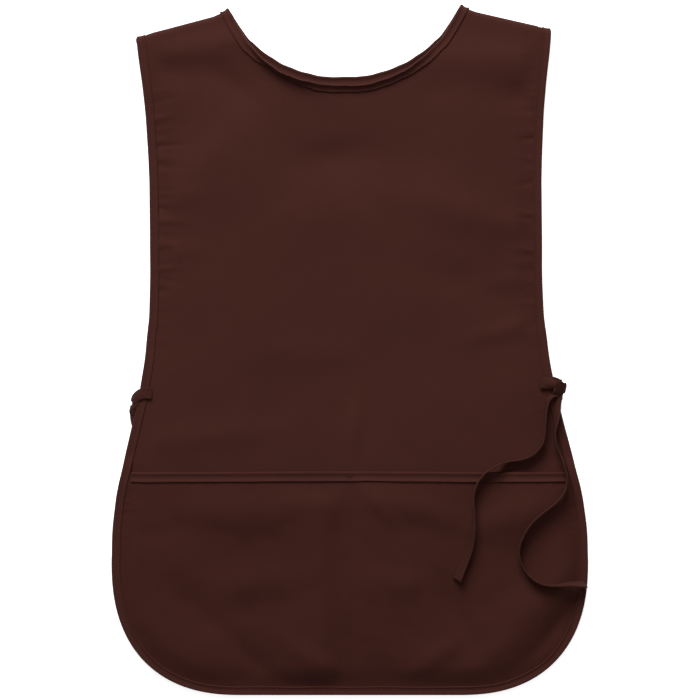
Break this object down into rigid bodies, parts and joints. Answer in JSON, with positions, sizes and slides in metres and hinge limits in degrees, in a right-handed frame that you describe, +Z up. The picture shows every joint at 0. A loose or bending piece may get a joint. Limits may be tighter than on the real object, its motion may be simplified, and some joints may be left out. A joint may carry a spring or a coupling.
{
  "type": "cobbler apron",
  "caption": "Sleeveless cloth apron for front and back, with a scoop neck, bound edges, a divided patch pocket and tape ties at both sides, lying on its back.",
  "frame": {"origin": "under the middle of the apron, on the surface that it lies on", "axes": "+X to the right as a viewer sees the front, +Y from the hem towards the neck, +Z up out of the front"},
  "size_m": [0.491, 0.711, 0.0356],
  "materials": {
    "cloth": "matt dark brown twill, smooth and softly creased",
    "binding": "matt dark brown bias tape, folded over the edge and stitched",
    "tape": "matt dark brown tape, stitched flat and left raw at its ends"
  },
  "bodies": {
    "root": {"front_panel": "cloth", "back_panel": "cloth", "pocket_panel": "cloth", "front_edge_binding": "binding", "back_edge_binding": "binding", "neck_binding": "binding", "pocket_binding": "binding", "left_front_tie": "tape", "left_back_tie": "tape", "left_knot": "tape", "left_tail_a": "tape", "left_tail_b": "tape", "right_front_tie": "tape", "right_back_tie": "tape", "right_knot": "tape", "right_tail_a": "tape", "right_tail_b": "tape"}
  },
  "joints": []
}
